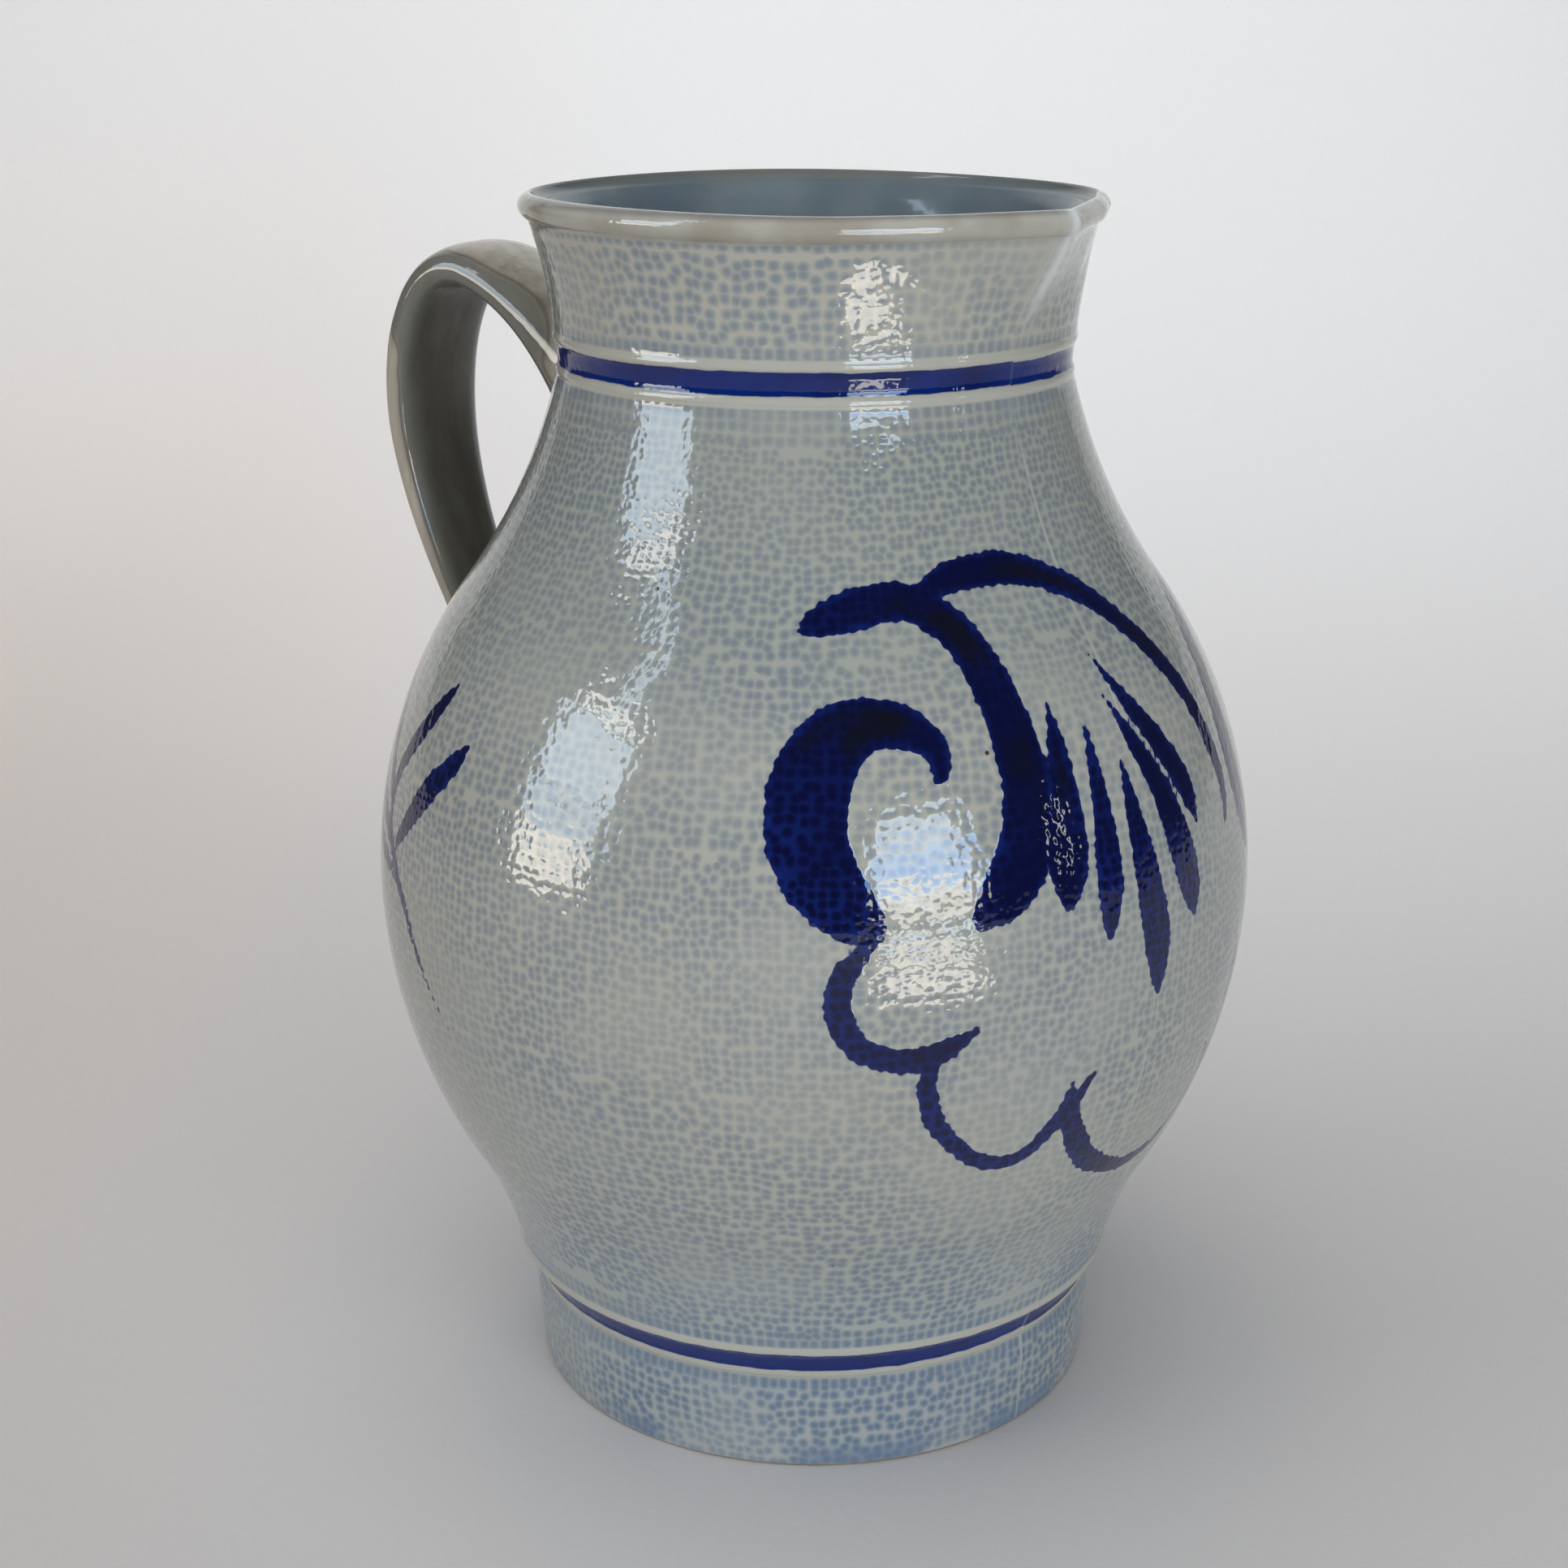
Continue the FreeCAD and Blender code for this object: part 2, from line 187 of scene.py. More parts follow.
# The scroll and the sprig stand again on the far side, mirrored about an angle
# beside the spout and a little lower.
MIRROR_ANGLE = 2.5
MIRROR_DROP = 7.0
SEAM_ANGLE = math.radians(-2.5)
STATION_PARTS = 14
PAINT_REACH = 4.0

# --- colours, as sRGB 0 to 255 -----------------------------------------------
NETWORK = (190, 191, 181)
NETWORK_SHOULDER = (173, 176, 167)
NETWORK_FOOT = (182, 191, 191)
NETWORK_NECK = (198, 197, 182)
DOT = (145, 154, 160)
DOT_SHOULDER = (132, 143, 150)
DOT_FOOT = (114, 136, 160)
DOT_NECK = (142, 153, 162)
CLOUD_WARM = (182, 184, 174)
CLOUD_COOL = (172, 179, 181)
CREAM = (194, 195, 186)
POOLED = (122, 142, 162)
DIPPED = (116, 138, 168)
RIM_PAINTED_DARK_REFLECTION = (112, 116, 120)
SPOUT_EDGE_PAINTED_HIGHLIGHT = (232, 236, 236)
SEAM_PALE = (198, 202, 200)
IRON_SPECK = (66, 52, 44)
COBALT_DEEP = (5, 11, 58)
COBALT_THIN = (14, 35, 108)
COBALT_BURNT = (16, 17, 26)
COBALT_BAND = (2, 38, 120)
COBALT_BAND_DEEP = (1, 14, 68)
LIP_TAN = (162, 155, 141)
INNER_GLAZE = (124, 138, 146)
INNER_GLAZE_DARK = (104, 119, 130)
INNER_LIP = (128, 128, 120)
BARE_CLAY = (172, 166, 154)
BARE_CLAY_DARK = (138, 130, 118)
CLAY_GRIT = (98, 88, 76)
HANDLE_GREY = (126, 126, 119)
HANDLE_OUTER_CREAM_AND_PAINTED_LIGHT = (190, 183, 170)
HANDLE_INNER_PAINTED_SHADE = (76, 73, 64)
HANDLE_IRON = (96, 82, 66)
HANDLE_STREAK = (112, 110, 98)
HANDLE_SPECK = (84, 66, 52)
SHEET_NEAR_PAINTED_SHADE = (226, 225, 225)
SHEET_FAR = (231, 232, 233)
SHEET_PAINTED_WARM_SHADOW = (214, 203, 195)
SHEET_GRAIN = (196, 194, 194)

GLAZE_IOR = 1.5


def srgb(colour):
    """A 0 to 255 sRGB colour as the linear colour that a node takes."""
    shares = [part / 255.0 for part in colour]
    return tuple(s / 12.92 if s <= 0.04045 else ((s + 0.055) / 1.055) ** 2.4 for s in shares) + (1.0,)


# --- shape helpers -----------------------------------------------------------
def walk(chain, step):
    """Points along an outline chain, about one step apart, without its last point."""
    spots = []
    for (reach, height, arc), (next_reach, next_height, _) in zip(chain, chain[1:]):
        start, stop = complex(reach, height), complex(next_reach, next_height)
        chord = abs(stop - start)
        length = chord if not arc else 2 * abs(arc) * math.asin(chord / 2 / abs(arc))
        parts = max(1, math.ceil(length / step))
        if arc and abs(arc) < SMALL_ARC:
            parts = max(parts, SMALL_ARC_PARTS)
        for share in np.arange(parts) / parts:
            if not arc:
                spots.append(start + (stop - start) * share)
                continue
            left = 1j * (stop - start) / chord
            inset = math.copysign(math.sqrt(arc * arc - chord * chord / 4), arc)
            centre = (start + stop) / 2 + left * inset
            spots.append(centre + (start - centre) * np.exp(1j * share * length / arc))
    return [(spot.real, spot.imag) for spot in spots]


def smooth(stations, parts):
    """A Catmull-Rom curve through stations of any number of columns."""
    line = np.array(stations, float)
    line = np.vstack([2 * line[0] - line[1], line, 2 * line[-1] - line[-2]])
    share = (np.arange(parts) / parts)[:, None]
    runs = []
    for before, start, stop, after in zip(line, line[1:], line[2:], line[3:]):
        runs.append(0.5 * (2 * start + (stop - before) * share
                           + (2 * before - 5 * start + 4 * stop - after) * share ** 2
                           + (3 * start - before - 3 * stop + after) * share ** 3))
    return np.vstack(runs + [line[-2:-1]])


def ease(value, low, high):
    """0 below low, 1 above high, and smooth between."""
    share = np.clip((np.asarray(value, float) - low) / (high - low), 0, 1)
    return share * share * (3 - 2 * share)


def round_jug(angle, reach, height):
    """Points at an angle, reach and height, as one array of x, y, z."""
    return np.stack(np.broadcast_arrays(reach * np.cos(angle), reach * np.sin(angle), height), axis=-1)


def skin(name, rings, first_middle, last_middle):
    """A closed skin over rings of points, with a fan to a middle point at each end."""
    rows, around = rings.shape[:2]
    index = np.arange(rows * around).reshape(rows, around)
    turned = np.roll(index, -1, axis=1)
    quads = np.stack([index[:-1], turned[:-1], turned[1:], index[1:]], axis=-1).reshape(-1, 4)
    first, last = rows * around, rows * around + 1
    fans = [(first, b, a) for a, b in zip(index[0], turned[0])]
    fans += [(last, a, b) for a, b in zip(index[-1], turned[-1])]
    points = np.vstack([rings.reshape(-1, 3), [first_middle, last_middle]]) * MM
    mesh = bpy.data.meshes.new(name)
    mesh.from_pydata(points.tolist(), [], quads.tolist() + [tuple(map(int, f)) for f in fans])
    mesh.shade_smooth()
    piece = bpy.data.objects.new(name, mesh)
    bpy.context.scene.collection.objects.link(piece)
    return piece


def tube_ring(name, rings):
    """A closed ring whose cross-sections are the rows of points in rings."""
    count, around = rings.shape[:2]
    index = np.arange(count * around).reshape(count, around)
    turned = np.roll(index, -1, axis=1)
    quads = np.stack([index, turned, np.roll(turned, -1, axis=0), np.roll(index, -1, axis=0)], axis=-1)
    mesh = bpy.data.meshes.new(name)
    mesh.from_pydata((rings.reshape(-1, 3) * MM).tolist(), [], quads.reshape(-1, 4).tolist())
    mesh.shade_smooth()
    piece = bpy.data.objects.new(name, mesh)
    bpy.context.scene.collection.objects.link(piece)
    return piece


def store(piece, name, values):
    """One number for each point of the piece, for its material to read."""
    attribute = piece.data.attributes.new(name, "FLOAT", "POINT")
    attribute.data.foreach_set("value", np.asarray(values, np.float32).ravel())


OUTSIDE_WALK = np.array(walk(OUTSIDE, OUTSIDE_STEP))


def climb_along(spots):
    """Height measured so that a step of it is as long as the same step of angle."""
    reach = (spots[1:, 0] + spots[:-1, 0]) / 2
    steps = np.hypot(*(spots[1:] - spots[:-1]).T) / reach
    return np.concatenate([[0], np.cumsum(steps)])


OUTSIDE_CLIMB = climb_along(OUTSIDE_WALK)


def climb_of(height):
    return float(np.interp(height, OUTSIDE_WALK[:, 1], OUTSIDE_CLIMB))


def wall_reach(height):
    """Reach of the round wall's outside at a height."""
    return np.interp(height, OUTSIDE_WALK[:, 1], OUTSIDE_WALK[:, 0])


# --- the vessel --------------------------------------------------------------
def column_angles():
    """Angles of the mesh's columns, closer together round the spout."""
    fine = np.linspace(-math.pi, math.pi, 4001)
    crowd = 1 + SPOUT_CROWDING * np.exp(-(fine / SPOUT_CROWD_WIDTH) ** 2)
    passed = np.concatenate([[0], np.cumsum((crowd[1:] + crowd[:-1]) / 2)])
    return np.interp(np.arange(COLUMNS) / COLUMNS * passed[-1], passed, fine)


def spout_pull(angle, height, reach):
    """How far the spout pulls the wall out: flat flanks that leave the round wall
    as tangents and meet in a rounded edge, with a slight pinch beside them."""
    rise = ease(height, SPOUT_FOOT, SPOUT_FULL)
    tip = reach + SPOUT_REACH * rise + 1e-6
    flank = np.arccos(np.clip(reach / tip, 0, 1))
    off = np.sqrt(angle ** 2 + (SPOUT_EDGE_ROUND / tip * rise) ** 2)
    pull = np.where(off < flank, reach / np.cos(np.maximum(flank - off, 0)) - reach, 0)
    beside = np.exp(-((np.abs(angle) - flank - PINCH_OFF) / PINCH_WIDTH) ** 2)
    return pull - SPOUT_PINCH * rise * beside


def unevenness(angle, height):
    """A hand-finished wall's slow waves, never proud of the CAD shape."""
    waves = np.zeros(np.broadcast(angle, height).shape)
    for lobes, pitch, share in WALL_WAVES:
        phase, slope = random.uniform(0, TURN, 2)
        waves = waves + share * np.sin(lobes * angle + phase) * np.cos(TURN * height / pitch + slope)
    return WALL_WAVE_DEPTH * (waves - 1)


def paint_distance(points):
    """Distance in millimetres from each point to the nearest painted edge, negative in the paint."""
    distance = np.full(len(points), PAINT_REACH)
    strokes = list(SCROLL.values()) + list(FAN.values()) + list(SPRIG.values())
    mirrored = list(SCROLL.values()) + list(SPRIG.values())
    lines = [(smooth(stroke, STATION_PARTS), 1) for stroke in strokes]
    lines += [(smooth(stroke, STATION_PARTS), -1) for stroke in mirrored]
    for line, side in lines:
        angle = np.radians(line[:, 0] if side > 0 else 2 * MIRROR_ANGLE - line[:, 0])
        level = line[:, 1] if side > 0 else line[:, 1] - MIRROR_DROP
        centres = round_jug(angle, wall_reach(level), level)
        brush = np.maximum(line[:, 2], 0.1) / 2
        margin = PAINT_REACH + brush.max()
        near = np.all((points > centres.min(0) - margin) & (points < centres.max(0) + margin), axis=1)
        gaps = np.linalg.norm(points[near][:, None] - centres[None], axis=2) - brush[None]
        distance[near] = np.minimum(distance[near], gaps.min(1))
    return distance


def build_vessel():
    under = np.array(walk(UNDERSIDE + OUTSIDE[:1], OUTSIDE_STEP * 2))
    inner = np.array(walk(INSIDE + [OUTSIDE[-1]], INSIDE_STEP))[::-1]
    spots = np.vstack([under, OUTSIDE_WALK, [OUTSIDE[-1][:2]], inner])
    outside_rows = len(under) + len(OUTSIDE_WALK) + 1
    angle = column_angles()[None, :]
    reach, height = spots[:, :1], spots[:, 1:]
    inner_row = np.arange(len(spots))[:, None] >= outside_rows
    share = np.where(inner_row, SPOUT_INNER_SHARE, 1.0)
    pull = spout_pull(angle, height, reach) * share
    waves = unevenness(angle, height) * ease(height, 2, 12)
    lip_wave = 1 - np.cos(2 * angle + 0.7) * np.cos(angle - 1.9)
    dip = LIP_DIP * ease(height, 200, LIP_TOP) * lip_wave
    rings = round_jug(angle, reach + pull + waves, height - dip)
    piece = skin("vessel_body", rings, (0, 0, UNDERSIDE[0][1]), (0, 0, INSIDE[0][1]))

    climb = np.zeros(len(spots))
    climb[len(under):outside_rows - 1] = OUTSIDE_CLIMB
    climb[outside_rows - 1:] = OUTSIDE_CLIMB[-1]
    points = rings.reshape(-1, 3)
    distance = np.full(rings.shape[:2], PAINT_REACH)
    painted = slice(len(under) * COLUMNS, outside_rows * COLUMNS)
    distance.reshape(-1)[painted] = paint_distance(points[painted])
    flank = np.clip(pull / SPOUT_REACH, 0, 1) * ~inner_row
    up_spout = ease(height, SPOUT_FOOT + 1, SPOUT_FULL - 6)
    # Painted highlight: a pale line down the spout's rounded edge, kept as the 'edge' share.
    edge = np.exp(-(np.abs(angle) * reach / SPOUT_HIGHLIGHT_WIDTH) ** 2) * up_spout * ~inner_row
    for name, values in (("climb", np.broadcast_to(climb[:, None], distance.shape)),
                         ("paint", distance), ("flank", flank), ("edge", edge)):
        store(piece, name, list(values.ravel()) + [values[0, 0], values[-1, 0]])

    for maker in (glazed_outside, glazed_inside, bare_clay):
        piece.data.materials.append(maker())
    rows = np.repeat(np.arange(len(spots) - 1), COLUMNS)
    slots = np.where(rows >= outside_rows - 1, 1, np.where(rows < len(under) - 1, 2, 0))
    slots = np.concatenate([slots, np.full(COLUMNS, 2), np.full(COLUMNS, 1)])
    piece.data.polygons.foreach_set("material_index", slots.astype(np.int32))
    piece.data.update()
    return piece


# --- the handle and its joints -----------------------------------------------
def strap_fibres():
    """The strap as fibres: one line of points along it for each point round its
    section, with the way out of the section there."""
    line = smooth(STRAP, 40)
    spine = line[:, 0] + 1j * line[:, 1]
    along = np.gradient(spine)
    along /= np.abs(along)
    out = along * 1j
    turn = np.arange(STRAP_AROUND) / STRAP_AROUND * TURN
    flat = np.sign(np.cos(turn)) * np.abs(np.cos(turn)) ** (2 / STRAP_SQUARENESS)
    deep = np.sign(np.sin(turn)) * np.abs(np.sin(turn)) ** (2 / STRAP_SQUARENESS)
    dome = 1 + STRAP_DOME * np.clip(deep, 0, 1) * (1 - flat ** 2)
    side = flat[None, :] * line[:, 2:3] / 2
    lift = (deep * dome / (1 + STRAP_DOME))[None, :] * line[:, 3:4] / 2
    plane = spine[:, None] + out[:, None] * lift
    away = out[:, None] * np.sin(turn)[None, :]
    local = np.stack([plane.real, side, plane.imag], axis=-1)
    away = np.stack([away.real, np.broadcast_to(np.cos(turn), away.shape), away.imag], axis=-1)
    swing = np.array(Matrix.Rotation(HANDLE_ANGLE, 3, "Z"))
    return local @ swing.T, away @ swing.T


def clear_of_wall(points):
    """How far each point stands outside the wall, level with it."""
    return np.hypot(points[..., 0], points[..., 1]) - wall_reach(points[..., 2])


def crossing(gap, target, backwards):
    """Place along one fibre where it leaves the wall, as a fractional index."""
    order = np.arange(len(gap))[::-1] if backwards else np.arange(len(gap))
    inside_until = np.argmax(gap[order] > target)
    low, high = order[inside_until - 1], order[inside_until]
    return low + (high - low) * (target - gap[low]) / (gap[high] - gap[low])


def at_place(rows, place):
    """Rows of an array read at fractional places."""
    whole = np.clip(np.floor(place).astype(int), 0, len(rows) - 2)
    return rows[whole] + (rows[whole + 1] - rows[whole]) * (place - whole)[:, None]


def fibre_ends(points, target):
    gap = clear_of_wall(points)
    starts = np.array([crossing(gap[:, k], target, False) for k in range(STRAP_AROUND)])
    stops = np.array([crossing(gap[:, k], target, True) for k in range(STRAP_AROUND)])
    return starts, stops


def build_handle(points):
    starts, stops = fibre_ends(points, -JOINT_SINK)
    share = np.linspace(0, 1, STRAP_ROWS)
    rings = np.stack([at_place(points[:, k], starts[k] + (stops[k] - starts[k]) * share)
                      for k in range(STRAP_AROUND)], axis=1)
    piece = skin("strap_handle", rings, rings[0].mean(0), rings[-1].mean(0))
    facing = np.sin(np.arange(STRAP_AROUND) / STRAP_AROUND * TURN)
    store(piece, "facing", list(np.tile(facing, STRAP_ROWS)) + [0, 0])
    piece.data.materials.append(handle_glaze("handle_glaze", 1.0))
    return piece


def build_joint(name, points, away, end, reach):
    """Clay smoothed into the corner between wall and strap, all the way round."""
    over_wall, up_strap = reach
    places = fibre_ends(points, 0.0)[end]
    direction = 1 if end == 0 else -1
    sections = []
    for k in range(STRAP_AROUND):
        fibre = points[:, k]
        root = at_place(fibre, places[k:k + 1])[0]
        lengths = np.cumsum(np.r_[0, np.linalg.norm(np.diff(fibre, axis=0), axis=1)])
        here = np.interp(places[k], np.arange(len(fibre)), lengths)
        turn = k * TURN / STRAP_AROUND
        uneven = 1 + 0.18 * math.sin(3 * turn + end) + 0.1 * math.sin(7 * turn)
        up = here + direction * up_strap * uneven
        on_strap = [np.interp(up, lengths, fibre[:, axis]) for axis in range(3)]
        out = at_place(away[:, k], places[k:k + 1])[0]
        radial = np.array([root[0], root[1], 0]) / math.hypot(root[0], root[1])
        slope = wall_reach(root[2] + 0.5) - wall_reach(root[2] - 0.5)
        normal = radial - np.array([0, 0, slope])
        normal /= np.linalg.norm(normal)
        tangent = out - normal * (out @ normal)
        tangent /= np.linalg.norm(tangent)
        on_wall = root + tangent * over_wall * uneven
        level = math.hypot(on_wall[0], on_wall[1])
        on_wall[:2] *= (wall_reach(on_wall[2]) - WALL_EDGE_SINK) / level
        on_strap = np.array(on_strap) - out * STRAP_EDGE_SINK
        corner = root + (on_wall + on_strap - 2 * root) * FILLET_FULLNESS
        share = np.linspace(0, 1, FILLET_POINTS)[:, None]
        fillet = (1 - share) ** 2 * on_wall + 2 * share * (1 - share) * corner + share ** 2 * on_strap
        buried = [on_strap - out * STRAP_BURIAL, root - out * ROOT_BURIAL - normal * ROOT_BURIAL,
                  on_wall - normal * ROOT_BURIAL]
        sections.append(np.vstack([fillet, buried]))
    rings = np.array(sections)
    if end == 1:
        rings = rings[::-1]
    piece = tube_ring(name, rings)
    # Painted shade: the joints' glaze is a little darker, for the crease between wall and strap.
    piece.data.materials.append(handle_glaze(name + "_glaze", 0.97))
    return piece


# --- materials ---------------------------------------------------------------
class Graph:
    """A material's nodes, written as plain calls. Sockets and numbers both serve as inputs."""

    def __init__(self, name):
        self.material = bpy.data.materials.new(name)
        self.material.use_nodes = True
        self.tree = self.material.node_tree
        self.shader = self.tree.nodes["Principled BSDF"]
        self.texture = self.node("ShaderNodeTexCoord").outputs["Object"]
        split = self.node("ShaderNodeSeparateXYZ", Vector=self.texture)
        self.x, self.y = split.outputs["X"], split.outputs["Y"]
        self.height = self.math("MULTIPLY", split.outputs["Z"], 1000.0)

    def node(self, kind, settings=None, **inputs):
        made = self.tree.nodes.new(kind)
        for name, value in (settings or {}).items():
            setattr(made, name, value)
        for name, value in inputs.items():
            self.feed(made.inputs[name], value)
        return made

    def feed(self, socket, value):
        if isinstance(value, bpy.types.NodeSocket):
            self.tree.links.new(value, socket)
        else:
            socket.default_value = value

    def math(self, operation, *values):
        made = self.tree.nodes.new("ShaderNodeMath")
        made.operation = operation
        for socket, value in zip(made.inputs, values):
            self.feed(socket, value)
        return made.outputs[0]

    def ease(self, value, low, high, start=0.0, stop=1.0):
        """start below low, stop above high, smooth between."""
        made = self.node("ShaderNodeMapRange", {"interpolation_type": "SMOOTHSTEP"})
        parts = {"Value": value, "From Min": low, "From Max": high, "To Min": start, "To Max": stop}
        for name, part in parts.items():
            self.feed(made.inputs[name], part)
        return made.outputs["Result"]

    def mix(self, share, first, second):
        """A colour between two, each a socket or an sRGB colour."""
        made = self.node("ShaderNodeMix", {"data_type": "RGBA"})
        self.feed(made.inputs[0], share)
        for socket, colour in ((made.inputs[6], first), (made.inputs[7], second)):
            self.feed(socket, colour if isinstance(colour, bpy.types.NodeSocket) else srgb(colour))
        return made.outputs[2]

    def blend(self, share, first, second):
        """A number between two."""
        made = self.node("ShaderNodeMix", {"data_type": "FLOAT"})
        for socket, value in zip((made.inputs[0], made.inputs[2], made.inputs[3]), (share, first, second)):
            self.feed(socket, value)
        return made.outputs[0]

    def noise(self, scale, detail=2.0, roughness=0.5, vector=None):
        made = self.node("ShaderNodeTexNoise", Scale=scale, Detail=detail, Roughness=roughness,
                         Vector=vector or self.texture)
        return made.outputs["Fac"]

    def attribute(self, name):
        return self.node("ShaderNodeAttribute", {"attribute_name": name}).outputs["Fac"]

    def between(self, value, low, high, soft):
        """1 between low and high, with soft edges."""
        rise = self.ease(value, low - soft, low + soft)
        fall = self.ease(value, high - soft, high + soft, 1.0, 0.0)
        return self.math("MULTIPLY", rise, fall)

    def bump(self, height, distance, normal=None):
        made = self.node("ShaderNodeBump", Height=height, Distance=distance, Strength=1.0)
        if normal is not None:
            self.feed(made.inputs["Normal"], normal)
        return made.outputs["Normal"]

    def finish(self, colour, roughness, normal):
        self.feed(self.shader.inputs["Base Color"], colour)
        self.feed(self.shader.inputs["Roughness"], roughness)
        self.shader.inputs["IOR"].default_value = GLAZE_IOR
        self.feed(self.shader.inputs["Normal"], normal)
        return self.material


# Scattered dots: lowest and highest level of each zone, and its dots round the jug.
DOT_ZONES = [(0.8, 15.7, 172), (30.2, 56.0, 198), (56.0, 84.0, 246), (84.0, 122.0, 284),
             (122.0, 150.0, 232), (150.0, 181.9, 204), (197.3, 211.8, 141)]
# Straight rows of dots: the line they start from, and how many follow it.
DOT_ROWS = [(16.9, 1), (27.0, 2), (186.2, 3), (195.7, 1), (213.0, 1)]
MOST_ROWS = 3
ROW_PITCH = 1.9
FOOT_ROW_DOTS = 188
NECK_ROW_DOTS = 144
NO_DOT = 2.0
SCATTER_RANDOMNESS = 0.54
ROW_RANDOMNESS = 0.24
# Noise moves the scattered dots: a slow swirl and a fine jitter, in dot spacings, whose
# middle value lifts them all by about DOT_SHIFT.
SWIRL_SCALE = 42.0
SWIRL_SHARE = 3.2
JITTER_SCALE = 240.0
NOISE_SHARE = 0.45
DOT_SHIFT = 0.95
# A zone's borders wander in two sine waves of this height, in dot spacings. Zones
# lower than NARROW_ZONE keep level borders.
BORDER_SWAY = 0.7
NARROW_ZONE = 20.0


def dot_cells(graph, across, up, randomness):
    """Distance to the nearest dot's middle and that middle's place, in dot spacings."""
    where = graph.node("ShaderNodeCombineXYZ", X=across, Y=up).outputs[0]
    cells = graph.node("ShaderNodeTexVoronoi", {"voronoi_dimensions": "2D", "feature": "F1"},
                       Vector=where, Scale=1.0, Randomness=randomness)
    middle = graph.node("ShaderNodeSeparateXYZ", Vector=cells.outputs["Position"])
    return cells.outputs["Distance"], middle.outputs["X"], middle.outputs["Y"]


def dot_distance(graph, turn, climb):
    """Distance to the nearest dot's middle, in dot spacings. Each zone keeps only
    the dots whose own middle lies in it, so that no dot is cut by a border."""
    jitter = graph.node("ShaderNodeTexNoise", Scale=JITTER_SCALE, Detail=1.0, Vector=graph.texture)
    swirl = graph.node("ShaderNodeTexNoise", Scale=SWIRL_SCALE, Detail=1.0, Vector=graph.texture)
    both = graph.node("ShaderNodeVectorMath", {"operation": "MULTIPLY_ADD"})
    graph.feed(both.inputs[0], swirl.outputs["Color"])
    both.inputs[1].default_value = (SWIRL_SHARE, SWIRL_SHARE, 0.0)
    graph.feed(both.inputs[2], jitter.outputs["Color"])
    shift = graph.node("ShaderNodeSeparateXYZ", Vector=both.outputs[0]).outputs
    found = NO_DOT
    for low, high, count in DOT_ZONES:
        spacing = TURN / count
        across = graph.math("DIVIDE", turn, spacing)
        across = graph.math("MULTIPLY_ADD", shift[0], NOISE_SHARE, across)
        up = graph.math("DIVIDE", climb, spacing)
        up = graph.math("MULTIPLY_ADD", shift[1], NOISE_SHARE, up)
        distance, middle_across, middle_up = dot_cells(graph, across, up, SCATTER_RANDOMNESS)
        wave = graph.math("SINE", graph.math("MULTIPLY", middle_across, 5 * spacing))
        ripple = graph.math("SINE", graph.math("MULTIPLY", middle_across, 13 * spacing))
        sway = 0.0 if high - low < NARROW_ZONE else BORDER_SWAY
        level = graph.math("MULTIPLY_ADD", graph.math("ADD", wave, ripple), sway, middle_up)
        kept = graph.math("MULTIPLY", graph.math("GREATER_THAN", level, climb_of(low) / spacing + DOT_SHIFT),
                          graph.math("LESS_THAN", level, climb_of(high) / spacing + DOT_SHIFT))
        found = graph.math("MINIMUM", found, graph.blend(kept, NO_DOT, distance))
    rows = NO_DOT * MOST_ROWS
    for line, count in DOT_ROWS:
        off = graph.math("ABSOLUTE", graph.math("SUBTRACT", graph.height, line))
        row = graph.math("MULTIPLY_ADD", off, 1 / ROW_PITCH, MOST_ROWS - count)
        rows = graph.math("MINIMUM", rows, row)
    upper_half = graph.math("GREATER_THAN", graph.height, 100.0)
    count = graph.blend(upper_half, FOOT_ROW_DOTS / TURN, NECK_ROW_DOTS / TURN)
    distance, _, row = dot_cells(graph, graph.math("MULTIPLY", turn, count), rows, ROW_RANDOMNESS)
    in_row = graph.math("LESS_THAN", row, MOST_ROWS)
    return graph.math("MINIMUM", found, graph.blend(in_row, NO_DOT, distance))


